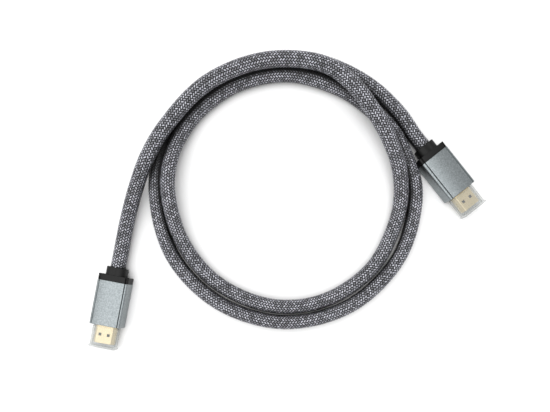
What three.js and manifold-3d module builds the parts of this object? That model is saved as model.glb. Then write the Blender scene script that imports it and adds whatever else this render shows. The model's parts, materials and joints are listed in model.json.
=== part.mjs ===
// A braided audio and video cable, laid down in a loose ring of two and a half turns, with one plug at each end.
// Each plug is an aluminium sleeve over a black moulding that holds a gold-plated shell with its contacts.
// A clear cap pushes over the shell. Millimetres, +Z up, floor at z = 0.
import * as THREE from "three";
import { mergeVertices } from "three/addons/utils/BufferGeometryUtils.js";
import Module from "manifold-3d";

const wasm = await Module();
wasm.setup();

// Clearances
const seatGap = 0.3; // between pieces that seat in or against each other
const contactGap = 0.15; // between a contact and the insert, and between the insert and its shell
const cutOverrun = 1; // how far a cutting solid runs out past the face that it opens

// Cable
const cableDiameter = 9.8;
const cableSides = 12;
const cableSteps = 80;
const straightExit = 9; // how far the cable keeps straight behind a collar

// Aluminium sleeve, an extruded tube with a raised panel on its two broad faces
const sleeveLength = 29.5;
const sleeveWidth = 20.4;
const sleeveThickness = 11;
const sleeveWall = 1.5;
const panelMargin = 2; // from the sleeve's side to the panel's edge
const panelStep = 0.9; // how far the panel stands above the groove beside it
const grooveWidth = 0.7;
const shoulderRadius = 1.4;
const shoulderDrop = 0.35; // how far the shoulder's crest lies below the panel
const boreCorner = 1;

// Black moulding: rear plate, collar and the block inside the sleeve
const plateLength = 3.8;
const plateInset = 0.15;
const collarLength = 5.5;
const collarWidth = 13.4;
const collarHeight = 10.7;
const collarSquareness = 2.7; // exponent of the collar's outline, 2 being an ellipse
const collarPoints = 40;
const valleyDepth = 0.5; // of the lengthwise valley along the middle of the collar
const valleyWidth = 2.4;
const blockProud = 0.4; // how far the moulding stands out of the sleeve's front

// Gold-plated shell, its narrow side up
const shellWidth = 13.9;
const shellHeight = 4.45;
const shellNarrowWidth = 10.6;
const shellStraightSide = 2.5; // height of the upright side, below the slope
const shellCorner = 0.7;
const shellLeastCorner = 0.15; // of an outline that is moved in
const shellWall = 0.35;
const shellExposed = 12; // in front of the sleeve
const shellBuried = 8; // inside the moulding
const latchSize = 1.9; // square latch holes in both broad sides
const latchSpacing = 5.6;
const latchFromSleeve = 6.2;

// Contact insert inside the shell
const insertRecess = 0.8; // behind the shell's rim
const slotWidth = 11.6;
const slotHeight = 1.9;
const slotDepth = 7;

// Contacts: a row of ten over a row of nine, half a pitch apart
const contactCount = 19;
const contactPitch = 1;
const contactWidth = 0.45;
const contactThickness = 0.3;
const contactLength = 6;

// Clear protective cap
const capLength = 14.3;
const capWidth = 16.8;
const capHeight = 6.6;
const capCorner = 1.4;
const capCavityCorner = 0.5;
const capEndWall = 1;
const capFlange = 0.7; // how far the rim at the closed end stands out
const capFlangeLength = 1.1;

// Where each plug lies: the middle of its sleeve's rear edge about the ring's centre, and its heading
const plugA = { x: -112.9, y: -61.8, heading: -100.8 };
const plugB = { x: 97.8, y: 20.8, heading: -51.5 };

// The cable's route from plug A to plug B, clockwise: [degrees, millimetres from the ring's centre, height].
// It climbs onto the ring at the left, crosses to the inside at the upper right, and lies on the floor from there,
// except where it leans on its neighbour at the left.
const route = [
  [191, 106.2, 6.85],
  [180, 97.6, 9.85],
  [169, 90.9, 14.4],
  [155, 85.9, 15.3],
  [128, 82.7, 15],
  [100, 81.3, 14.8],
  [73, 81.5, 15],
  [57, 78.1, 15.3],
  [42, 74.1, 15.2],
  [27, 73.8, 13.05],
  [11, 75.5, 10.25],
  [-3, 76.95, 6.95],
  [-17, 77, 5.35],
  [-42, 78.3, 5],
  [-70, 78.7, 5],
  [-96, 78.3, 5],
  [-126, 77.2, 5],
  [-153, 76.7, 6.25],
  [-178, 76.8, 10.05],
  [-194, 77.3, 9.65],
  [-209, 77.6, 6.75],
  [-224, 77.5, 5.15],
  [-246, 76.9, 5],
  [-272, 76.7, 5],
  [-300, 76.7, 5],
  [-317, 78.1, 5],
  [-332, 81.5, 5],
  [-347, 83.9, 5],
  [-362, 87.1, 5],
  [-390, 88.5, 5],
  [-420, 89, 5],
  [-450, 88.7, 5],
  [-480, 87.7, 5],
  [-509, 87.2, 5],
  [-538, 86.1, 5],
  [-562, 87.4, 5],
  [-588, 87.9, 5],
  [-618, 87.1, 5],
  [-646, 87.4, 5],
  [-668, 88.9, 5],
  [-686, 91.2, 5],
];

const anodised = new THREE.MeshStandardMaterial({ color: 0x9aa6aa, metalness: 0.9, roughness: 0.45 });
const blackPlastic = new THREE.MeshStandardMaterial({ color: 0x1d1e20, metalness: 0, roughness: 0.5 });
const goldPlate = new THREE.MeshStandardMaterial({ color: 0xdcc48c, metalness: 1, roughness: 0.25 });
const braid = new THREE.MeshStandardMaterial({ color: 0x6e6f74, metalness: 0, roughness: 0.8 });
const clearPlastic = new THREE.MeshStandardMaterial({
  color: 0xe6eaea,
  metalness: 0,
  roughness: 0.2,
  transparent: true,
  opacity: 0.4,
});

// A closed geometry as a solid that can be joined and cut.
function toSolid(geometry) {
  const bare = geometry.index ? geometry.toNonIndexed() : geometry.clone();
  bare.deleteAttribute("normal");
  bare.deleteAttribute("uv");
  const sameCorner = 1e-4;
  const merged = mergeVertices(bare, sameCorner);
  return new wasm.Manifold(
    new wasm.Mesh({
      numProp: 3,
      vertProperties: merged.attributes.position.array,
      triVerts: new Uint32Array(merged.index.array),
    }),
  );
}

// A solid back as a geometry.
function toGeometry(solid) {
  const mesh = solid.getMesh();
  const geometry = new THREE.BufferGeometry();
  geometry.setAttribute("position", new THREE.BufferAttribute(new Float32Array(mesh.vertProperties), 3));
  geometry.setIndex(new THREE.BufferAttribute(new Uint32Array(mesh.triVerts), 1));
  geometry.computeVertexNormals();
  return geometry;
}

// A section drawn across the plug (its x is the plug's Y, its y the plug's Z) extruded along the plug's X.
function extrudeAlongPlug(shape, fromX, toX) {
  const settings = { depth: toX - fromX, bevelEnabled: false, curveSegments: 4 };
  const geometry = new THREE.ExtrudeGeometry(shape, settings);
  const zToX = new THREE.Matrix4().set(0, 0, 1, fromX, 1, 0, 0, 0, 0, 1, 0, 0, 0, 0, 0, 1);
  return geometry.applyMatrix4(zToX);
}

function roundedRectangle(width, height, corner) {
  const w = width / 2;
  const h = height / 2;
  const shape = new THREE.Shape();
  shape.moveTo(-w + corner, -h);
  shape.lineTo(w - corner, -h);
  shape.absarc(w - corner, -h + corner, corner, -Math.PI / 2, 0);
  shape.absarc(w - corner, h - corner, corner, 0, Math.PI / 2);
  shape.absarc(-w + corner, h - corner, corner, Math.PI / 2, Math.PI);
  shape.absarc(-w + corner, -h + corner, corner, Math.PI, 1.5 * Math.PI);
  shape.closePath();
  return shape;
}

// The sleeve's outline: on each broad face a raised panel, then a groove, then a rounded shoulder.
function sleeveOutline(inset) {
  const halfWidth = sleeveWidth / 2 - inset;
  const halfHeight = sleeveThickness / 2 - inset;
  const halfPanel = halfWidth - panelMargin;
  const grooveFloor = halfHeight - panelStep;
  const crest = halfHeight - shoulderDrop;
  const shoulderY = halfWidth - shoulderRadius;
  const shoulderZ = crest - shoulderRadius;
  const grooveEnd = halfPanel + grooveWidth;
  // A quarter of the outline, from the panel's edge down to the side, as [y, z]. The shoulder starts beyond its
  // crest where the groove leaves room for that.
  const quarter = [
    [halfPanel, halfHeight],
    [halfPanel + grooveWidth / 4, grooveFloor],
    [grooveEnd, grooveFloor],
  ];
  const pastCrest = THREE.MathUtils.clamp((shoulderY - grooveEnd) / shoulderRadius, 0, 0.9);
  const crestStart = Math.PI / 2 + Math.asin(pastCrest);
  const arcSteps = 8;
  for (let i = 0; i <= arcSteps; i++) {
    const angle = crestStart * (1 - i / arcSteps);
    quarter.push([shoulderY + shoulderRadius * Math.cos(angle), shoulderZ + shoulderRadius * Math.sin(angle)]);
  }
  const shape = new THREE.Shape();
  const corners = [
    ...quarter,
    ...quarter.map(([y, z]) => [y, -z]).reverse(),
    ...quarter.map(([y, z]) => [-y, -z]),
    ...quarter.map(([y, z]) => [-y, z]).reverse(),
  ];
  shape.setFromPoints(corners.reverse().map(([y, z]) => new THREE.Vector2(y, z)));
  shape.closePath();
  return shape;
}

// The shell's outline moved in by an inset, or out where it is negative.
function shellOutline(inset) {
  const slopeRun = (shellWidth - shellNarrowWidth) / 2;
  const slopeRise = shellHeight - shellStraightSide;
  const slopeLength = Math.hypot(slopeRun, slopeRise);
  const normal = [slopeRise / slopeLength, slopeRun / slopeLength];
  const bend = [shellWidth / 2, -shellHeight / 2 + shellStraightSide];
  const offset = normal[0] * bend[0] + normal[1] * bend[1] - inset;
  const side = shellWidth / 2 - inset;
  const top = shellHeight / 2 - inset;
  const sideTop = (offset - normal[0] * side) / normal[1];
  const narrow = (offset - normal[1] * top) / normal[0];
  const corner = Math.max(shellLeastCorner, shellCorner - inset);
  const shape = new THREE.Shape();
  shape.moveTo(-side + corner, -top);
  shape.lineTo(side - corner, -top);
  shape.absarc(side - corner, -top + corner, corner, -Math.PI / 2, 0);
  shape.lineTo(side, sideTop);
  shape.lineTo(narrow, top);
  shape.lineTo(-narrow, top);
  shape.lineTo(-side, sideTop);
  shape.absarc(-side + corner, -top + corner, corner, Math.PI, 1.5 * Math.PI);
  shape.closePath();
  return shape;
}

// The collar's outline, squarer than an ellipse, with a shallow valley along the middle of its two broad sides.
function collarOutline() {
  const points = [];
  for (let i = 0; i < collarPoints; i++) {
    const angle = (2 * Math.PI * i) / collarPoints;
    const c = Math.cos(angle);
    const s = Math.sin(angle);
    const y = (collarWidth / 2) * Math.sign(c) * Math.abs(c) ** (2 / collarSquareness);
    const z = (collarHeight / 2) * Math.sign(s) * Math.abs(s) ** (2 / collarSquareness);
    const valley = Math.abs(s) * valleyDepth * Math.exp(-Math.pow((2 * y) / valleyWidth, 2));
    points.push(new THREE.Vector2(y, z - Math.sign(s) * valley));
  }
  return new THREE.Shape(points);
}

const sleeveFront = sleeveLength;
const plateFront = -seatGap;
const plateRear = plateFront - plateLength;
const collarRear = plateRear - collarLength;
const blockFront = sleeveFront + blockProud;
const boreWidth = sleeveWidth - 2 * sleeveWall;
const boreHeight = sleeveThickness - 2 * (sleeveWall + panelStep / 2);
const shellRear = sleeveFront - shellBuried;
const shellFront = sleeveFront + shellExposed;
const insertRear = shellRear;
const insertFront = shellFront - insertRecess;
const slotRear = insertFront - slotDepth;

function makeSleeve() {
  const section = sleeveOutline(0);
  section.holes.push(roundedRectangle(boreWidth, boreHeight, boreCorner));
  return extrudeAlongPlug(section, 0, sleeveFront);
}

function makeMoulding() {
  const block = roundedRectangle(boreWidth - 2 * seatGap, boreHeight - 2 * seatGap, boreCorner);
  const joinOverlap = 0.5;
  const solid = toSolid(extrudeAlongPlug(block, plateRear + joinOverlap, blockFront))
    .add(toSolid(extrudeAlongPlug(sleeveOutline(plateInset), plateRear, plateFront)))
    .add(toSolid(extrudeAlongPlug(collarOutline(), collarRear, plateRear + joinOverlap)));
  const pocket = toSolid(extrudeAlongPlug(shellOutline(-seatGap), shellRear - seatGap, blockFront + cutOverrun));
  return toGeometry(solid.subtract(pocket));
}

function makeShell() {
  const section = shellOutline(0);
  section.holes.push(shellOutline(shellWall));
  let solid = toSolid(extrudeAlongPlug(section, shellRear, shellFront));
  for (const side of [-1, 1]) {
    const latch = new THREE.BoxGeometry(latchSize, latchSize, shellHeight + 2 * cutOverrun);
    latch.translate(sleeveFront + latchFromSleeve, (side * latchSpacing) / 2, 0);
    solid = solid.subtract(toSolid(latch));
  }
  return toGeometry(solid);
}

function makeInsert() {
  const body = toSolid(extrudeAlongPlug(shellOutline(shellWall + contactGap), insertRear, insertFront));
  const slot = new THREE.BoxGeometry(slotDepth + cutOverrun, slotWidth, slotHeight);
  slot.translate(slotRear + (slotDepth + cutOverrun) / 2, 0, 0);
  return toGeometry(body.subtract(toSolid(slot)));
}

// Contact number i: even ones in the upper row, odd ones in the lower row.
function makeContact(i) {
  const acrossSlot = ((i - (contactCount - 1) / 2) * contactPitch) / 2;
  const fromMiddle = slotHeight / 2 - contactGap - contactThickness / 2;
  const contact = new THREE.BoxGeometry(contactLength, contactWidth, contactThickness);
  contact.translate(slotRear + contactGap + contactLength / 2, acrossSlot, i % 2 ? -fromMiddle : fromMiddle);
  return contact;
}

function makeCap() {
  const rear = blockFront + seatGap;
  const front = rear + capLength;
  const flangeSection = roundedRectangle(capWidth + 2 * capFlange, capHeight + 2 * capFlange, capCorner + capFlange);
  const cavityWidth = shellWidth + 2 * seatGap;
  const cavityHeight = shellHeight + 2 * seatGap;
  const outside = toSolid(extrudeAlongPlug(roundedRectangle(capWidth, capHeight, capCorner), rear, front)).add(
    toSolid(extrudeAlongPlug(flangeSection, front - capFlangeLength, front)),
  );
  const cavitySection = roundedRectangle(cavityWidth, cavityHeight, capCavityCorner);
  const cavity = extrudeAlongPlug(cavitySection, rear - cutOverrun, front - capEndWall);
  return toGeometry(outside.subtract(toSolid(cavity)));
}

// One plug in its own frame: +X out of the mating end, x = 0 at the sleeve's rear, z = 0 on its middle.
function makePlug(tag, place) {
  const plug = new THREE.Group();
  plug.position.set(place.x, place.y, sleeveThickness / 2);
  plug.rotation.z = THREE.MathUtils.degToRad(place.heading);
  const addPiece = (name, geometry, material) => {
    const mesh = new THREE.Mesh(geometry, material);
    mesh.name = name + "_" + tag;
    plug.add(mesh);
  };
  addPiece("sleeve", makeSleeve(), anodised);
  addPiece("moulding", makeMoulding(), blackPlastic);
  addPiece("shell", makeShell(), goldPlate);
  addPiece("insert", makeInsert(), blackPlastic);
  for (let i = 0; i < contactCount; i++) {
    addPiece("contact_" + String(i + 1).padStart(2, "0"), makeContact(i), goldPlate);
  }
  addPiece("cap", makeCap(), clearPlastic);
  return plug;
}

// A point on a plug's axis, a distance behind its collar, about the ring's centre.
function behindCollar(place, distance) {
  const heading = THREE.MathUtils.degToRad(place.heading);
  const along = collarRear - distance;
  const x = place.x + along * Math.cos(heading);
  const y = place.y + along * Math.sin(heading);
  return new THREE.Vector3(x, y, sleeveThickness / 2);
}

function makeCable() {
  const onRing = route.map(([degrees, radius, height]) => {
    const angle = THREE.MathUtils.degToRad(degrees);
    return new THREE.Vector3(radius * Math.cos(angle), radius * Math.sin(angle), height);
  });
  const path = new THREE.CatmullRomCurve3([
    behindCollar(plugA, seatGap),
    behindCollar(plugA, straightExit),
    ...onRing,
    behindCollar(plugB, straightExit),
    behindCollar(plugB, seatGap),
  ]);
  const section = new THREE.Shape();
  for (let i = 0; i < cableSides; i++) {
    const angle = (2 * Math.PI * (i + 0.5)) / cableSides;
    const x = (cableDiameter / 2) * Math.cos(angle);
    const y = (cableDiameter / 2) * Math.sin(angle);
    if (i === 0) section.moveTo(x, y);
    else section.lineTo(x, y);
  }
  section.closePath();
  const geometry = new THREE.ExtrudeGeometry(section, { steps: cableSteps, extrudePath: path });
  const cable = new THREE.Mesh(geometry, braid);
  cable.name = "cable";
  return cable;
}

const assembly = new THREE.Group();
const plugs = new THREE.Group();
plugs.add(makePlug("a", plugA), makePlug("b", plugB));
assembly.add(plugs, makeCable());

// The origin is on the floor, under the middle of the box that holds the two plugs.
const plugBox = new THREE.Box3().setFromObject(plugs, true);
const middle = plugBox.getCenter(new THREE.Vector3());
assembly.position.set(-middle.x, -middle.y, 0);

export default assembly;
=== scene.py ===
# A thick braided video cable lies in a loose ring on a white table, a metal-sleeved plug at each end.
import json
import math

import bmesh
import bpy
import numpy as np
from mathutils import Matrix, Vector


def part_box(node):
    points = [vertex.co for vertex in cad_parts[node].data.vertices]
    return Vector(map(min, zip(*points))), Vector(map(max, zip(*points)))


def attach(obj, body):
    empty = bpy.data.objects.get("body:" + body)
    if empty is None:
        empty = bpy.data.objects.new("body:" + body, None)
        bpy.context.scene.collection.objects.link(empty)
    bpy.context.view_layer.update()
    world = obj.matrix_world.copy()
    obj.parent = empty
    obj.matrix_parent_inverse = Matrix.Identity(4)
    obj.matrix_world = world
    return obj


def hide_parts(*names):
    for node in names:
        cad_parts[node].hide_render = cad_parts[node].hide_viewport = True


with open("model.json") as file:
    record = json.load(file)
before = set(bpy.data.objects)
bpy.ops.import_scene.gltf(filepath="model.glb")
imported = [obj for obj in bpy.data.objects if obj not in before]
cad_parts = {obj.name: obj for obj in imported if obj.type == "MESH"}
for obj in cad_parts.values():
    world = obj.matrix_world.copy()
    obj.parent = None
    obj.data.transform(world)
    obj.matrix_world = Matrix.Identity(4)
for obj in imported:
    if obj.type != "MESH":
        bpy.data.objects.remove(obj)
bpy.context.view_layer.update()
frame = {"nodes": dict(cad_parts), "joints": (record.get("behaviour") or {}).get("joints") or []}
MM = 0.001


# Cable core: copper pairs and screens in a round black PVC jacket, extruded over them in one length. Its
# braid hides it but for the gaps between the strands. From plug a it runs up onto the ring, crosses to its
# inside at the upper right, and lies on the table from there to plug b.
jacket_radius = 4.4 * MM
jacket_sides = 24
jacket_step = 2.2 * MM
plug_axes = {joint["child"][-1]: np.array(joint["axis"], float) for joint in frame["joints"]}
sleeve_thickness = 11 * MM
sleeve_length = 29.5 * MM
collar_rear = -9.6 * MM  # along the plug's axis from its sleeve's rear
straight_exit = 9 * MM
collar_grip = 0.5 * MM  # how far the cable's ends go into the collars
route = [  # degrees round the ring, then millimetres from its centre and above the table
    (191, 106.2, 6.85),
    (180, 97.6, 9.85),
    (169, 90.9, 14.4),
    (155, 85.9, 15.3),
    (128, 82.7, 15),
    (100, 81.3, 14.8),
    (73, 81.5, 15),
    (57, 78.1, 15.3),
    (42, 74.1, 15.2),
    (27, 73.8, 13.05),
    (11, 75.5, 10.25),
    (-3, 76.95, 6.95),
    (-17, 77, 5.35),
    (-42, 78.3, 5),
    (-70, 78.7, 5),
    (-96, 78.3, 5),
    (-126, 77.2, 5),
    (-153, 76.7, 6.25),
    (-178, 76.8, 10.05),
    (-194, 77.3, 9.65),
    (-209, 77.6, 6.75),
    (-224, 77.5, 5.15),
    (-246, 76.9, 5),
    (-272, 76.7, 5),
    (-300, 76.7, 5),
    (-317, 78.1, 5),
    (-332, 81.5, 5),
    (-347, 83.9, 5),
    (-362, 87.1, 5),
    (-390, 88.5, 5),
    (-420, 89, 5),
    (-450, 88.7, 5),
    (-480, 87.7, 5),
    (-509, 87.2, 5),
    (-538, 86.1, 5),
    (-562, 87.4, 5),
    (-588, 87.9, 5),
    (-618, 87.1, 5),
    (-646, 87.4, 5),
    (-668, 88.9, 5),
    (-686, 91.2, 5),
]


def plug_frame(tag):
    """The plug's origin, at the middle of its sleeve's rear, and its axes: forward, across and up."""
    low, high = (np.array(corner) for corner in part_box("sleeve_" + tag))
    forward = plug_axes[tag] / np.linalg.norm(plug_axes[tag])
    up = np.array([0.0, 0.0, 1.0])
    origin = (low + high) / 2 - forward * sleeve_length / 2
    return origin, np.array([forward, np.cross(up, forward), up])


def behind_collar(tag, distance):
    """A point on the plug's axis, a distance behind its collar."""
    origin, axes = plug_frame(tag)
    return origin + axes[0] * (collar_rear - distance)


def smooth_line(points, per_span=24):
    """A centripetal Catmull-Rom line through the points."""
    ends = [2 * points[0] - points[1], *points, 2 * points[-1] - points[-2]]
    line = []
    for p0, p1, p2, p3 in zip(ends, ends[1:], ends[2:], ends[3:]):
        d0, d1, d2 = (math.sqrt(np.linalg.norm(b - a)) for a, b in ((p0, p1), (p1, p2), (p2, p3)))
        t1 = ((p1 - p0) / d0 - (p2 - p0) / (d0 + d1) + (p2 - p1) / d1) * d1
        t2 = ((p2 - p1) / d1 - (p3 - p1) / (d1 + d2) + (p3 - p2) / d2) * d1
        for u in np.arange(per_span) / per_span:
            bend = (2 * (p1 - p2) + t1 + t2) * u**3 + (3 * (p2 - p1) - 2 * t1 - t2) * u**2
            line.append(bend + t1 * u + p1)
    line.append(points[-1])
    return np.array(line)


def evenly(line, step):
    """The line's points moved to even steps along it, and the length at each."""
    along = np.concatenate([[0], np.cumsum(np.linalg.norm(np.diff(line, axis=0), axis=1))])
    wanted = np.linspace(0, along[-1], int(round(along[-1] / step)) + 1)
    return np.stack([np.interp(wanted, along, line[:, i]) for i in range(3)], axis=1), wanted


def carried_frames(line):
    """Two directions across the line at each point, carried along it without twist."""
    tangent = np.gradient(line, axis=0)
    tangent /= np.linalg.norm(tangent, axis=1)[:, None]
    side = np.cross([0.0, 0.0, 1.0], tangent[0])
    sides = []
    for t in tangent:
        side = side - t * side.dot(t)
        side /= np.linalg.norm(side)
        sides.append(side)
    sides = np.array(sides)
    return sides, np.cross(tangent, sides)


def new_piece(name, vertices, faces, body, uvs=None):
    """A mesh from vertices in metres in the frame, riding on a body. uvs is one pair for each vertex."""
    mesh = bpy.data.meshes.new(name)
    mesh.from_pydata([], [], [])
    vertices = np.asarray(vertices, np.float32)
    counts = np.array([len(f) for f in faces], np.int32)
    corners = np.concatenate([np.asarray(f, np.int32) for f in faces])
    mesh.vertices.add(len(vertices))
    mesh.vertices.foreach_set("co", vertices.ravel())
    mesh.loops.add(len(corners))
    mesh.loops.foreach_set("vertex_index", corners)
    mesh.polygons.add(len(counts))
    mesh.polygons.foreach_set("loop_start", np.concatenate([[0], np.cumsum(counts)[:-1]]).astype(np.int32))
    mesh.polygons.foreach_set("use_smooth", np.ones(len(counts), bool))
    mesh.update(calc_edges=True)
    if uvs is not None:
        layer = mesh.uv_layers.new(name="along_and_across")
        layer.data.foreach_set("uv", np.asarray(uvs, np.float32)[corners].ravel())
    mesh.validate()
    piece = bpy.data.objects.new(name, mesh)
    bpy.context.scene.collection.objects.link(piece)
    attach(piece, body)
    return piece


def linear(hex_colour):
    """An sRGB colour such as 8A8F92 as linear red, green, blue and alpha."""
    values = [int(hex_colour[i : i + 2], 16) / 255 for i in (0, 2, 4)]
    return (*[v / 12.92 if v <= 0.04045 else ((v + 0.055) / 1.055) ** 2.4 for v in values], 1.0)


def add_node(material, kind, links=None, **settings):
    """Adds a node. links gives each input a value or another node's output, settings its own properties."""
    node = material.node_tree.nodes.new(kind)
    for name, value in settings.items():
        setattr(node, name, value)
    for socket, value in (links or {}).items():
        if isinstance(value, bpy.types.NodeSocket):
            material.node_tree.links.new(value, node.inputs[socket])
        else:
            node.inputs[socket].default_value = value
    return node


def new_material(name):
    """A material with an empty node tree."""
    material = bpy.data.materials.new(name)
    material.use_nodes = True
    material.node_tree.nodes.clear()
    return material


# The route is given about the ring's centre, which plug a's place gives.
plug_a_from_ring = np.array([-112.9, -61.8, 5.5]) * MM
ring_centre = plug_frame("a")[0] - plug_a_from_ring
angles = np.radians([degrees for degrees, _, _ in route])
radii = np.array([radius for _, radius, _ in route]) * MM
heights = np.array([height for _, _, height in route]) * MM
on_ring = np.stack([radii * np.cos(angles), radii * np.sin(angles), heights], axis=1)
exits = [behind_collar("a", -collar_grip), behind_collar("a", straight_exit)]
arrivals = [behind_collar("b", straight_exit), behind_collar("b", -collar_grip)]
cable_line, cable_along = evenly(smooth_line([*exits, *(on_ring + ring_centre), *arrivals]), jacket_step)
cable_length = cable_along[-1]
side, over = carried_frames(cable_line)


def on_cable(along, around, radius):
    """Points on the cable: metres along it, radians round it and metres from its middle."""
    middle = np.stack([np.interp(along, cable_along, cable_line[:, i]) for i in range(3)], axis=-1)
    across = np.stack([np.interp(along, cable_along, side[:, i]) for i in range(3)], axis=-1)
    up = np.stack([np.interp(along, cable_along, over[:, i]) for i in range(3)], axis=-1)
    outward = np.cos(around)[..., None] * across + np.sin(around)[..., None] * up
    return middle + radius[..., None] * outward


around = 2 * np.pi * np.arange(jacket_sides) / jacket_sides
rings, sides = np.meshgrid(np.arange(len(cable_line)), np.arange(jacket_sides), indexing="ij")
jacket_points = on_cable(cable_along[rings], around[sides], np.full(rings.shape, jacket_radius))
jacket_points = jacket_points.reshape(-1, 3)
first = (rings[:-1] * jacket_sides + sides[:-1]).ravel()
beside = (rings[:-1] * jacket_sides + (sides[:-1] + 1) % jacket_sides).ravel()
jacket_faces = list(np.stack([first, beside, beside + jacket_sides, first + jacket_sides], axis=1))
jacket_faces.append(np.arange(jacket_sides)[::-1])
jacket_faces.append(np.arange(jacket_sides) + (len(cable_line) - 1) * jacket_sides)
jacket = new_piece("cable_jacket", jacket_points, jacket_faces, "cable_and_plugs")

# Black PVC, extruded: dull and nearly black, it only darkens the gaps of the braid.
pvc = new_material("black_pvc_jacket")
pvc_grain = add_node(pvc, "ShaderNodeTexNoise", {"Scale": 1 / (0.5 * MM), "Detail": 3.0})
pvc_bump = add_node(
    pvc, "ShaderNodeBump", {"Height": pvc_grain.outputs[0], "Strength": 0.2, "Distance": 0.05 * MM}
)
pvc_shader = add_node(
    pvc,
    "ShaderNodeBsdfPrincipled",
    {"Base Color": linear("040405"), "Roughness": 0.7, "IOR": 1.53, "Normal": pvc_bump.outputs[0]},
)
add_node(pvc, "ShaderNodeOutputMaterial", {"Surface": pvc_shader.outputs[0]})
jacket.data.materials.append(pvc)
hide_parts("cable")


# Braid: flat strands of nylon monofilament, wound both ways and plaited straight onto the jacket. The parts
# of them that lie on top, their floats, stand in rows along the cable that lean one way and the other in
# turn, as in herringbone cloth. The ends go into the collars.
floats_around = 18  # rows of floats, half of them leaning each way
float_pitch = 1.9 * MM  # from one float to the next along its row
float_crest = 4.9 * MM
float_tuck = 0.5 * MM  # how far its two ends dive under the next rows
float_crown = 0.13 * MM  # how far its long edges lie below its middle
float_overlap = 1.22  # its length over the width of its row
float_width = 0.74 * MM
cable_twist = 1.6  # radians that the rows wander from end to end, as the cable was coiled
right_phase = 0.25  # where the floats start along the cable, as a share of their pitch
left_phase = 0.75
uv_reach = 0.48  # how far a float reaches from the middle of its own unit square of the braid's UV map
float_steps = np.linspace(-1, 1, 5)
float_rows = np.array([-1.0, 0.0, 1.0])


def braid_strands(name, lean):
    """Every float that leans one way: lean is 1 or -1."""
    count = int(cable_length / float_pitch) + 2
    column = np.arange(0 if lean > 0 else 1, floats_around, 2)
    start = np.arange(count)
    col, num, t, w = np.meshgrid(column, start, float_steps, float_rows, indexing="ij")
    half_turn = np.pi / floats_around
    row_width = 2 * half_turn * float_crest
    slant = np.array([row_width, lean * float_pitch])
    slant /= np.linalg.norm(slant)
    phase = right_phase if lean > 0 else left_phase
    middle = (num + phase) * float_pitch
    wide = w * float_width / 2
    along = middle + lean * t * float_overlap * float_pitch / 2 + wide * slant[0]
    turn = (2 * col + 1) * half_turn + t * float_overlap * half_turn
    turn = turn - wide * slant[1] / float_crest
    turn = turn + cable_twist * along / cable_length
    along = np.clip(along, 0, cable_length)
    radius = float_crest - float_tuck * t**2 - float_crown * w**2
    points = on_cable(along.ravel(), turn.ravel(), radius.ravel())
    size = len(float_steps) * len(float_rows)
    floats = len(column) * count
    corner = np.arange(size).reshape(len(float_steps), len(float_rows))
    quads = np.stack([corner[:-1, :-1], corner[:-1, 1:], corner[1:, 1:], corner[1:, :-1]], axis=-1)
    quads = quads.reshape(-1, 4)
    if lean > 0:
        quads = quads[:, ::-1]
    faces = (quads[None] + size * np.arange(floats)[:, None, None]).reshape(-1, 4)
    uvs = np.stack([col + 0.5 + uv_reach * t, num + 0.5 + uv_reach * w], axis=-1).reshape(-1, 2)
    return new_piece(name, points, list(faces), "cable_and_plugs", uvs)


# Nylon monofilament, drawn and dyed grey: smooth and glossy. Painted shade darkens each float's colour
# towards its two ends, where they dive under the next rows. Its filaments show as fine lines, and its tone
# differs at random from its neighbours'. Where two lengths of cable lie side by side, painted shade from an
# ambient occlusion node darkens the braid's colour to nearly black.
nylon = new_material("grey_nylon_braid")
nylon_uv = add_node(nylon, "ShaderNodeUVMap", uv_map="along_and_across")
nylon_within = add_node(nylon, "ShaderNodeVectorMath", {0: nylon_uv.outputs[0]}, operation="FRACTION")
nylon_lanes = add_node(nylon, "ShaderNodeSeparateXYZ", {0: nylon_within.outputs[0]})
filaments = 4  # in each float
lane_turn = add_node(
    nylon, "ShaderNodeMath", {0: nylon_lanes.outputs[1], 1: math.pi * filaments}, operation="MULTIPLY"
)
lane_wave = add_node(nylon, "ShaderNodeMath", {0: lane_turn.outputs[0]}, operation="SINE")
lane_round = add_node(nylon, "ShaderNodeMath", {0: lane_wave.outputs[0]}, operation="ABSOLUTE")
nylon_bump = add_node(
    nylon, "ShaderNodeBump", {"Height": lane_round.outputs[0], "Strength": 0.5, "Distance": 0.1 * MM}
)
nylon_number = add_node(nylon, "ShaderNodeVectorMath", {0: nylon_uv.outputs[0]}, operation="FLOOR")
nylon_chance = add_node(
    nylon, "ShaderNodeTexWhiteNoise", {"Vector": nylon_number.outputs[0]}, noise_dimensions="2D"
)
nylon_dye = add_node(
    nylon, "ShaderNodeMapRange", {"Value": nylon_chance.outputs["Value"], "To Min": 0.25, "To Max": 1.3}
)
# Painted shade: each float's colour is darkened towards its two ends, where they dive under the next rows.
crest_half = add_node(nylon, "ShaderNodeMath", {0: nylon_lanes.outputs[0], 1: 0.5}, operation="SUBTRACT")
crest_square = add_node(
    nylon, "ShaderNodeMath", {0: crest_half.outputs[0], 1: crest_half.outputs[0]}, operation="MULTIPLY"
)
nylon_painted_end_shade = add_node(
    nylon,
    "ShaderNodeMapRange",
    {"Value": crest_square.outputs[0], "From Max": 0.1, "To Min": 1.0, "To Max": 0.0},
)
nylon_dye_and_painted_end_shade = add_node(
    nylon, "ShaderNodeMath", {0: nylon_dye.outputs[0], 1: nylon_painted_end_shade.outputs[0]}, operation="MULTIPLY"
)
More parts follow.
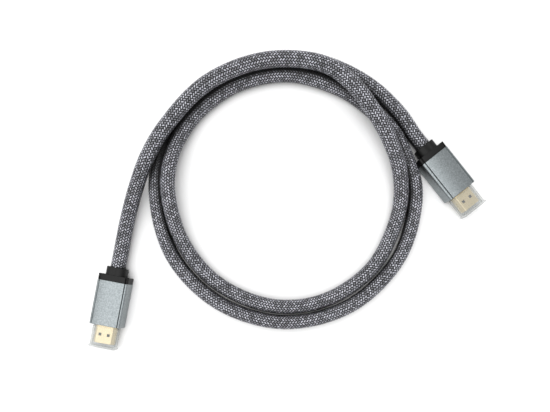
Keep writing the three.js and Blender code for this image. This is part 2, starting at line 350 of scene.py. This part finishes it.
# Painted shade: an ambient occlusion node darkens the braid's colour where lengths of cable lie close
# together.
nylon_open = add_node(nylon, "ShaderNodeAmbientOcclusion", {"Distance": 10 * MM}, samples=8)
nylon_painted_crevice_shade = add_node(
    nylon, "ShaderNodeMapRange", {"Value": nylon_open.outputs["AO"], "From Min": 0.45, "From Max": 0.95}
)
nylon_colour_with_painted_shade = add_node(
    nylon, "ShaderNodeMath", {0: nylon_dye_and_painted_end_shade.outputs[0], 1: nylon_painted_crevice_shade.outputs[0]}, operation="MULTIPLY"
)
nylon_shade = add_node(nylon, "ShaderNodeValToRGB", {0: nylon_colour_with_painted_shade.outputs[0]})
nylon_shade.color_ramp.elements[0].color = linear("060608")
nylon_shade.color_ramp.elements[1].color = linear("C6C7D1")
nylon_shader = add_node(
    nylon,
    "ShaderNodeBsdfPrincipled",
    {"Base Color": nylon_shade.outputs[0], "Roughness": 0.32, "IOR": 1.53, "Normal": nylon_bump.outputs[0]},
)
add_node(nylon, "ShaderNodeOutputMaterial", {"Surface": nylon_shader.outputs[0]})
braid_pieces = [braid_strands("braid_strands_right", 1), braid_strands("braid_strands_left", -1)]
for piece in braid_pieces:
    piece.data.materials.append(nylon)


# Black moulding of each plug: soft PVC injected round the soldered joint in one shot. It makes the collar
# on the cable, the plate behind the sleeve, and the block inside the sleeve, whose rim shows at the front.
# From here on, sizes are in millimetres, and lengths along a plug are counted from its sleeve's rear.
collar_length = 5.5
collar_width = 13.4
collar_height = 10.7
collar_squareness = 2.7
valley_depth = 0.5  # of the shallow valley along the collar's top and underside
valley_width = 2.4
collar_round = 0.45
plate_round = 0.25
plate_inset = 0.15
block_round = 0.15
block_overlap = 1  # how far the block reaches into the plate, and the collar beyond it
bore_corner = 1
plate_rear = -4.1
plate_front = -0.05
sleeve_width = 20.4
panel_margin = 2.0
panel_step = 0.9
groove_width = 0.95
panel_round = 0.25  # of the panel's long edges
panel_bulge = 0.07
cove_round = 0.2  # of the groove's foot beside the panel
cove_lean = 0.08
shoulder_radius = 1.4
shoulder_drop = 0.35
sleeve_wall = 1.5
block_gap = 0.3
block_proud = 0.4


def collar_outline(points=72):
    """A rounded box with a shallow valley along its top and its underside."""
    turn = 2 * np.pi * np.arange(points) / points
    c, s = np.cos(turn), np.sin(turn)
    y = collar_width / 2 * np.sign(c) * np.abs(c) ** (2 / collar_squareness)
    z = collar_height / 2 * np.sign(s) * np.abs(s) ** (2 / collar_squareness)
    valley = np.abs(s) * valley_depth * np.exp(-((2 * y / valley_width) ** 2))
    return np.stack([y, z - np.sign(s) * valley], axis=1)


def sleeve_outline(arc_steps=10):
    """A raised panel, a rounded cove beside it and a rounded shoulder, on each of the two broad faces."""
    half_width = sleeve_width / 2
    half_height = sleeve_thickness / MM / 2
    half_panel = half_width - panel_margin
    floor = half_height - panel_step
    crest = half_height - shoulder_drop
    shoulder_y = half_width - shoulder_radius
    quarter = [(half_panel - panel_round, half_height)]
    quarter += [(half_panel - panel_bulge, half_height - panel_bulge)]
    quarter += [(half_panel, half_height - panel_round)]
    quarter += [(half_panel + cove_lean, floor + cove_round), (half_panel + groove_width / 3, floor)]
    quarter += [(half_panel + groove_width * 0.75, floor)]
    lean = math.asin(min(0.9, max(0, (shoulder_y - half_panel - groove_width) / shoulder_radius)))
    for i in range(arc_steps + 1):
        angle = (math.pi / 2 + lean) * (1 - i / arc_steps)
        y = shoulder_y + shoulder_radius * math.cos(angle)
        quarter.append((y, crest - shoulder_radius + shoulder_radius * math.sin(angle)))
    quarter = np.array(quarter)
    flip = quarter[::-1]
    parts = [quarter, flip * (1, -1), quarter * (-1, -1), flip * (-1, 1)]
    return np.concatenate(parts)[::-1]


def rounded_box_outline(width, height, corner, arc_steps=6):
    """A box with round corners, about the origin."""
    points = []
    for number, (sy, sz) in enumerate(((1, 1), (-1, 1), (-1, -1), (1, -1))):
        for i in range(arc_steps + 1):
            angle = math.pi / 2 * (number + i / arc_steps)
            y = sy * (width / 2 - corner) + corner * math.cos(angle)
            points.append((y, sz * (height / 2 - corner) + corner * math.sin(angle)))
    return np.array(points)


def moved_in(outline, distance):
    """The outline with each point moved inward along its normal."""
    edge = np.roll(outline, -1, axis=0) - np.roll(outline, 1, axis=0)
    normal = np.stack([edge[:, 1], -edge[:, 0]], axis=1)
    normal /= np.linalg.norm(normal, axis=1)[:, None]
    turn = np.roll(outline, -1, axis=0)
    area = (outline[:, 0] * turn[:, 1] - outline[:, 1] * turn[:, 0]).sum()
    return outline - normal * distance * np.sign(area)


def loft(tag, sections, ends="closed"):
    """Vertices and faces of a skin over sections [(x, outline)], closed at its ends or joined into a ring."""
    origin, axes = plug_frame(tag)
    count = len(sections[0][1])
    vertices = []
    for x, outline in sections:
        local = np.column_stack([np.full(count, x), outline]) * MM
        vertices.append(origin + local @ axes)
    faces = []
    spans = len(sections) if ends == "ring" else len(sections) - 1
    for i in range(spans):
        a = i * count
        b = (i + 1) % len(sections) * count
        for j in range(count):
            k = (j + 1) % count
            faces.append([a + j, b + j, b + k, a + k])
    if ends == "closed":
        faces.append(list(range(count)))
        faces.append([(len(sections) - 1) * count + j for j in reversed(range(count))])
    return np.concatenate(vertices), faces


def joined(*shells):
    """Several (vertices, faces) as one."""
    vertices, faces, start = [], [], 0
    for points, polygons in shells:
        vertices.append(points)
        faces += [[start + i for i in polygon] for polygon in polygons]
        start += len(points)
    return np.concatenate(vertices), faces


def finish_piece(piece, material, sharp_degrees=35):
    """Turns the faces outward, keeps the hard edges and gives the piece its material."""
    shape = bmesh.new()
    shape.from_mesh(piece.data)
    bmesh.ops.recalc_face_normals(shape, faces=shape.faces)
    shape.to_mesh(piece.data)
    shape.free()
    piece.data.set_sharp_from_angle(angle=math.radians(sharp_degrees))
    piece.data.materials.append(material)


def rounded_ends(outline, rear, front, radius, steps=4):
    """Sections of a bar with its two ends rounded."""
    turns = [math.pi / 2 * i / steps for i in range(steps + 1)]
    steps_in = [(radius * (1 - math.sin(t)), moved_in(outline, radius * (1 - math.cos(t)))) for t in turns]
    rear_part = [(rear + along, section) for along, section in steps_in[::-1]]
    return rear_part + [(front - along, section) for along, section in steps_in]


# PVC compound, moulded: satin black with a very fine spark-eroded grain that takes away half of its gloss.
moulded = new_material("black_moulded_pvc")
moulded_place = add_node(moulded, "ShaderNodeTexCoord")
moulded_grain = add_node(
    moulded,
    "ShaderNodeTexNoise",
    {"Vector": moulded_place.outputs["Object"], "Scale": 1 / (0.25 * MM), "Detail": 4.0},
)
moulded_bump = add_node(
    moulded, "ShaderNodeBump", {"Height": moulded_grain.outputs[0], "Strength": 0.15, "Distance": 0.04 * MM}
)
moulded_sheen = add_node(
    moulded, "ShaderNodeMapRange", {"Value": moulded_grain.outputs[0], "To Min": 0.42, "To Max": 0.58}
)
moulded_shader = add_node(
    moulded,
    "ShaderNodeBsdfPrincipled",
    {
        "Base Color": linear("060606"),
        "Roughness": moulded_sheen.outputs[0],
        "IOR": 1.52,
        "Specular IOR Level": 0.25,
        "Normal": moulded_bump.outputs[0],
    },
)
add_node(moulded, "ShaderNodeOutputMaterial", {"Surface": moulded_shader.outputs[0]})

bore_width = sleeve_width - 2 * sleeve_wall
bore_height = sleeve_thickness / MM - 2 * (sleeve_wall + panel_step / 2)
sleeve_front = sleeve_length / MM
block_front = sleeve_front + block_proud
for tag in ("a", "b"):
    collar_front = plate_rear + 1.5 * block_overlap
    collar = loft(tag, rounded_ends(collar_outline(), collar_rear / MM, collar_front, collar_round))
    plate_outline = moved_in(sleeve_outline(), plate_inset)
    plate = loft(tag, rounded_ends(plate_outline, plate_rear, plate_front, plate_round))
    block_width = bore_width - 2 * block_gap
    block_height = bore_height - 2 * block_gap
    block_outline = rounded_box_outline(block_width, block_height, bore_corner)
    block = loft(tag, rounded_ends(block_outline, plate_front - block_overlap, block_front, block_round))
    moulding = new_piece("plug_moulding_" + tag, *joined(collar, plate, block), "cable_and_plugs")
    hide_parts("moulding_" + tag)
    finish_piece(moulding, moulded)


# Sleeve of each plug: a length of extruded aluminium tube, its broad faces raised into a panel between two
# coves. It is sawn, bead-blasted and anodised, and pushed over the moulding from the front.
edge_break = 0.2


def bore_outline(outline):
    """The bore's rounded box, with one point for each point of the outline at the same angle."""
    dense = rounded_box_outline(bore_width, bore_height, bore_corner, arc_steps=40)
    dense_angle = np.arctan2(dense[:, 1], dense[:, 0])
    order = np.argsort(dense_angle)
    across = outline[:, 0] / sleeve_width * bore_width
    angle = np.arctan2(outline[:, 1] / sleeve_thickness * MM * bore_height, across)
    y = np.interp(angle, dense_angle[order], dense[order, 0], period=2 * np.pi)
    z = np.interp(angle, dense_angle[order], dense[order, 1], period=2 * np.pi)
    return np.stack([y, z], axis=1)


# Anodised aluminium, blasted with fine glass beads: a soft metallic gloss, slightly blue-grey from the dye
# in the oxide. The grain is drawn coarser than the real one, so that it shows.
anodised = new_material("blasted_anodised_aluminium")
anodised_place = add_node(anodised, "ShaderNodeTexCoord")
bead_grain = add_node(
    anodised,
    "ShaderNodeTexNoise",
    {"Vector": anodised_place.outputs["Object"], "Scale": 1 / (0.35 * MM), "Detail": 3.0},
)
cloud = add_node(
    anodised,
    "ShaderNodeTexNoise",
    {"Vector": anodised_place.outputs["Object"], "Scale": 1 / (0.9 * MM), "Detail": 4.0},
)
bead_bump = add_node(
    anodised, "ShaderNodeBump", {"Height": bead_grain.outputs[0], "Strength": 0.35, "Distance": 0.03 * MM}
)
dye = add_node(anodised, "ShaderNodeValToRGB", {0: cloud.outputs[0]})
dye.color_ramp.elements[0].position = 0.3
dye.color_ramp.elements[0].color = linear("787E80")
dye.color_ramp.elements[1].position = 0.7
dye.color_ramp.elements[1].color = linear("959B9D")
anodised_shader = add_node(
    anodised,
    "ShaderNodeBsdfPrincipled",
    {"Base Color": dye.outputs[0], "Metallic": 1.0, "Roughness": 0.38, "Normal": bead_bump.outputs[0]},
)
add_node(anodised, "ShaderNodeOutputMaterial", {"Surface": anodised_shader.outputs[0]})
for tag in ("a", "b"):
    outer = sleeve_outline()
    bore = bore_outline(outer)
    broken = moved_in(outer, edge_break)
    sections = [(0, bore), (0, broken), (edge_break, outer)]
    sections += [(sleeve_front - edge_break, outer), (sleeve_front, broken), (sleeve_front, bore)]
    sleeve = new_piece("plug_sleeve_" + tag, *loft(tag, sections, "ring"), "cable_and_plugs")
    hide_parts("sleeve_" + tag)
    finish_piece(sleeve, anodised, 25)


# Contact insert and contacts: a black glass-filled body inside the shell, with a slot for the socket's
# tongue, and nineteen gold-plated leaves along its two long walls, ten over nine. They show in the mouth.
insert_plastic = new_material("black_glass_filled_nylon")
insert_speckle = add_node(
    insert_plastic, "ShaderNodeTexNoise", {"Scale": 1 / (0.2 * MM), "Detail": 4.0}
)
insert_shade = add_node(insert_plastic, "ShaderNodeValToRGB", {0: insert_speckle.outputs[0]})
insert_shade.color_ramp.elements[0].color = linear("101012")
insert_shade.color_ramp.elements[1].color = linear("232326")
insert_shader = add_node(
    insert_plastic,
    "ShaderNodeBsdfPrincipled",
    {"Base Color": insert_shade.outputs[0], "Roughness": 0.5, "IOR": 1.53},
)
add_node(insert_plastic, "ShaderNodeOutputMaterial", {"Surface": insert_shader.outputs[0]})

# Gold plating over nickel on brass: bright, pale and warm, with faint marks of the strip that was folded.
gold = new_material("gold_plated_brass")
gold_place = add_node(gold, "ShaderNodeTexCoord")
gold_marks = add_node(
    gold,
    "ShaderNodeTexNoise",
    {"Vector": gold_place.outputs["Object"], "Scale": 1 / (0.8 * MM), "Detail": 3.0},
)
gold_gloss = add_node(
    gold, "ShaderNodeMapRange", {"Value": gold_marks.outputs[0], "To Min": 0.24, "To Max": 0.36}
)
gold_bump = add_node(
    gold, "ShaderNodeBump", {"Height": gold_marks.outputs[0], "Strength": 0.1, "Distance": 0.05 * MM}
)
gold_shader = add_node(
    gold,
    "ShaderNodeBsdfPrincipled",
    {
        "Base Color": linear("F5E2BA"),
        "Metallic": 1.0,
        "Roughness": gold_gloss.outputs[0],
        "Normal": gold_bump.outputs[0],
    },
)
add_node(gold, "ShaderNodeOutputMaterial", {"Surface": gold_shader.outputs[0]})
for name, node in frame["nodes"].items():
    if name.startswith("insert_"):
        node.data.materials.clear()
        node.data.materials.append(insert_plastic)
    elif name.startswith("contact_"):
        node.data.materials.clear()
        node.data.materials.append(gold)


# Shell of each plug: brass strip folded into a tube, narrower at its upper side, and gold plated. Two
# square windows in each broad side take the socket's springs. The moulding's block holds it.
shell_width = 13.9
shell_height = 4.45
shell_narrow_width = 10.6
shell_straight_side = 2.5
shell_wall = 0.35
shell_exposed = 12
shell_buried = 8
latch_size = 1.9
latch_spacing = 5.6
latch_from_sleeve = 6.2
rim_break = 0.1  # of the shell's front edge
rim_length = 0.15
window_corner = 0.02


def folded_outline(inset, bend=0.55, arc_steps=5):
    """The shell's outline with rounded folds, moved in by an inset."""
    side = shell_width / 2
    top = shell_height / 2
    corners = [(-side, -top), (side, -top), (side, -top + shell_straight_side)]
    corners += [(shell_narrow_width / 2, top), (-shell_narrow_width / 2, top)]
    corners += [(-side, -top + shell_straight_side)]
    corners = np.array(corners)
    points = []
    for i, corner in enumerate(corners):
        back = corners[i - 1] - corner
        ahead = corners[(i + 1) % len(corners)] - corner
        back, ahead = back / np.linalg.norm(back), ahead / np.linalg.norm(ahead)
        half = math.acos(float(np.clip(back.dot(ahead), -1, 1))) / 2
        inward = (back + ahead) / np.linalg.norm(back + ahead)
        centre = corner + inward * bend / math.sin(half)
        radius = bend - inset
        start = -inward
        sweep = math.pi / 2 - half
        for j in range(arc_steps + 1):
            turn = -sweep + 2 * sweep * j / arc_steps
            c, s = math.cos(turn), math.sin(turn)
            turned = np.array([c * start[0] - s * start[1], s * start[0] + c * start[1]])
            points.append(centre + radius * turned)
    return np.array(points)


for tag in ("a", "b"):
    rear = sleeve_front - shell_buried
    front = sleeve_front + shell_exposed
    outer = folded_outline(0)
    inner = folded_outline(shell_wall)
    sections = [(rear, inner), (rear, outer), (front - rim_length, outer)]
    sections += [(front, moved_in(outer, rim_break)), (front, inner)]
    shell = new_piece("plug_shell_" + tag, *loft(tag, sections, "ring"), "cable_and_plugs")
    cutter_shells = []
    window = rounded_box_outline(latch_size, 3 * shell_height, window_corner, 1)
    for across in (-latch_spacing / 2, latch_spacing / 2):
        start = sleeve_front + latch_from_sleeve - latch_size / 2
        moved = window + (across, 0)
        cutter_shells.append(loft(tag, [(start, moved), (start + latch_size, moved)]))
    vertices, faces = joined(*cutter_shells)
    cutter_mesh = bpy.data.meshes.new("latch_cutter")
    cutter_mesh.from_pydata(vertices.tolist(), [], faces)
    cutter_shape = bmesh.new()
    cutter_shape.from_mesh(cutter_mesh)
    bmesh.ops.recalc_face_normals(cutter_shape, faces=cutter_shape.faces)
    cutter_shape.to_mesh(cutter_mesh)
    cutter_shape.free()
    cutter = bpy.data.objects.new("latch_cutter", cutter_mesh)
    bpy.context.scene.collection.objects.link(cutter)
    finish_piece(shell, gold, 30)
    windows = shell.modifiers.new("windows", "BOOLEAN")
    windows.operation = "DIFFERENCE"
    windows.solver = "EXACT"
    windows.object = cutter
    bpy.context.view_layer.update()
    cut = bpy.data.meshes.new_from_object(shell.evaluated_get(bpy.context.evaluated_depsgraph_get()))
    shell.modifiers.clear()
    shell.data = cut
    shell.data.set_sharp_from_angle(angle=math.radians(30))
    bpy.data.objects.remove(cutter)
    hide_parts("shell_" + tag)


# Cap of each plug: clear soft polyethylene, moulded in one piece with a thin wall and a rim round its
# closed end. It is pushed over the shell to keep it from scratches, and pulls straight off.
cap_length = 14.3
cap_width = 16.8
cap_height = 6.6
cap_corner = 1.4
cap_end_wall = 1.0
cap_flange = 0.7
cap_flange_length = 1.1
cap_gap = 0.3
cap_edge = 0.3  # how far its rims are rounded
cap_fillet = 0.4  # between its wall and its flange
cavity_corner = 0.5

# Clear polyethylene, moulded: see-through with a slight grey haze and a soft gloss. More of the haze shows
# at the cap's edges, where its wall is seen along its length.
clear = new_material("clear_moulded_polyethylene")
clear_place = add_node(clear, "ShaderNodeTexCoord")
clear_ripple = add_node(
    clear,
    "ShaderNodeTexNoise",
    {"Vector": clear_place.outputs["Object"], "Scale": 1 / (3 * MM), "Detail": 2.0},
)
clear_bump = add_node(
    clear, "ShaderNodeBump", {"Height": clear_ripple.outputs[0], "Strength": 0.05, "Distance": 0.1 * MM}
)
clear_skin = add_node(
    clear,
    "ShaderNodeBsdfPrincipled",
    {"Base Color": linear("BFC0BE"), "Roughness": 0.22, "IOR": 1.51, "Normal": clear_bump.outputs[0]},
)
clear_edge = add_node(clear, "ShaderNodeLayerWeight", {"Blend": 0.35, "Normal": clear_bump.outputs[0]})
clear_haze = add_node(
    clear, "ShaderNodeMapRange", {"Value": clear_edge.outputs["Facing"], "To Min": 0.13, "To Max": 0.62}
)
clear_through = add_node(clear, "ShaderNodeBsdfTransparent", {"Color": linear("F8F9F9")})
clear_shader = add_node(
    clear,
    "ShaderNodeMixShader",
    {0: clear_haze.outputs[0], 1: clear_through.outputs[0], 2: clear_skin.outputs[0]},
)
add_node(clear, "ShaderNodeOutputMaterial", {"Surface": clear_shader.outputs[0]})
for tag in ("a", "b"):
    rear = block_front + cap_gap
    front = rear + cap_length
    body = rounded_box_outline(cap_width, cap_height, cap_corner)
    flange_width = cap_width + 2 * cap_flange
    flange_height = cap_height + 2 * cap_flange
    flange = rounded_box_outline(flange_width, flange_height, cap_corner + cap_flange)
    cavity = rounded_box_outline(shell_width + 2 * cap_gap, shell_height + 2 * cap_gap, cavity_corner)
    flange_rear = front - cap_flange_length
    cavity_end = front - cap_end_wall
    sections = [(cavity_end, moved_in(cavity, cap_edge)), (cavity_end - cap_edge, cavity)]
    sections += [(rear + cap_edge / 3, cavity), (rear, moved_in(body, cap_edge)), (rear + cap_edge, body)]
    sections += [(flange_rear - cap_fillet, body), (flange_rear, moved_in(flange, cap_edge / 2))]
    sections += [(flange_rear + cap_edge / 2, flange), (front - cap_edge, flange)]
    sections += [(front, moved_in(flange, cap_edge))]
    cap = new_piece("plug_cap_" + tag, *loft(tag, sections), "cap_" + tag)
    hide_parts("cap_" + tag)
    finish_piece(cap, clear, 40)


# Table: a sheet of white paper, lit so brightly that only faint soft shadows show on it.
paper = new_material("white_paper")
paper_shader = add_node(
    paper, "ShaderNodeBsdfPrincipled", {"Base Color": linear("F6F6F6"), "Roughness": 0.9}
)
add_node(paper, "ShaderNodeOutputMaterial", {"Surface": paper_shader.outputs[0]})
table_mesh = bpy.data.meshes.new("table")
reach = 3.0
table_corners = [(-reach, -reach, 0), (reach, -reach, 0), (reach, reach, 0), (-reach, reach, 0)]
table_mesh.from_pydata(table_corners, [], [(0, 1, 2, 3)])
table = bpy.data.objects.new("table", table_mesh)
table_mesh.materials.append(paper)
bpy.context.scene.collection.objects.link(table)

# Light: a large soft box above, towards the left, in a white room.
world = bpy.data.worlds.new("white_room")
world.use_nodes = True
world.node_tree.nodes["Background"].inputs["Color"].default_value = (1.0, 1.0, 1.0, 1.0)
world.node_tree.nodes["Background"].inputs["Strength"].default_value = 0.85
bpy.context.scene.world = world


box_place = np.array([-0.25, 0.0, 0.85])
box_light = bpy.data.lights.new("top_box", "AREA")
box_light.size = 1.25
box_light.energy = 7.5
top_box = bpy.data.objects.new("top_box", box_light)
top_box.location = box_place
tilt = math.atan2(math.hypot(box_place[0], box_place[1]), box_place[2])
bearing = math.atan2(-box_place[0], box_place[1]) + math.pi
top_box.rotation_euler = (tilt, 0, bearing)
bpy.context.scene.collection.objects.link(top_box)

# Camera: level above the table with a wide lens close to it, and nearer to the viewer than the picture's
# middle, so that the plugs show their inner sides and hardly any of their rear faces.
picture_width = 374.1 * MM  # of the table, across the frame
camera_height = 266 * MM
seen_centre = np.array([-6.7, -10.0]) * MM  # the middle of the picture, from the ring's centre
camera_back = 62 * MM  # how far the camera stands towards the viewer from that; its lens is shifted as far
sensor_width = 36.0
camera_data = bpy.data.cameras.new("camera")
camera_data.sensor_width = sensor_width
camera_data.lens = sensor_width * camera_height / picture_width
camera_data.shift_y = camera_back / picture_width
camera_data.clip_start = 0.01
camera = bpy.data.objects.new("camera", camera_data)
seen = ring_centre[:2] + seen_centre
camera.location = (seen[0], seen[1] - camera_back, camera_height)
bpy.context.scene.collection.objects.link(camera)
bpy.context.scene.camera = camera
bpy.context.scene.view_settings.view_transform = "Standard"
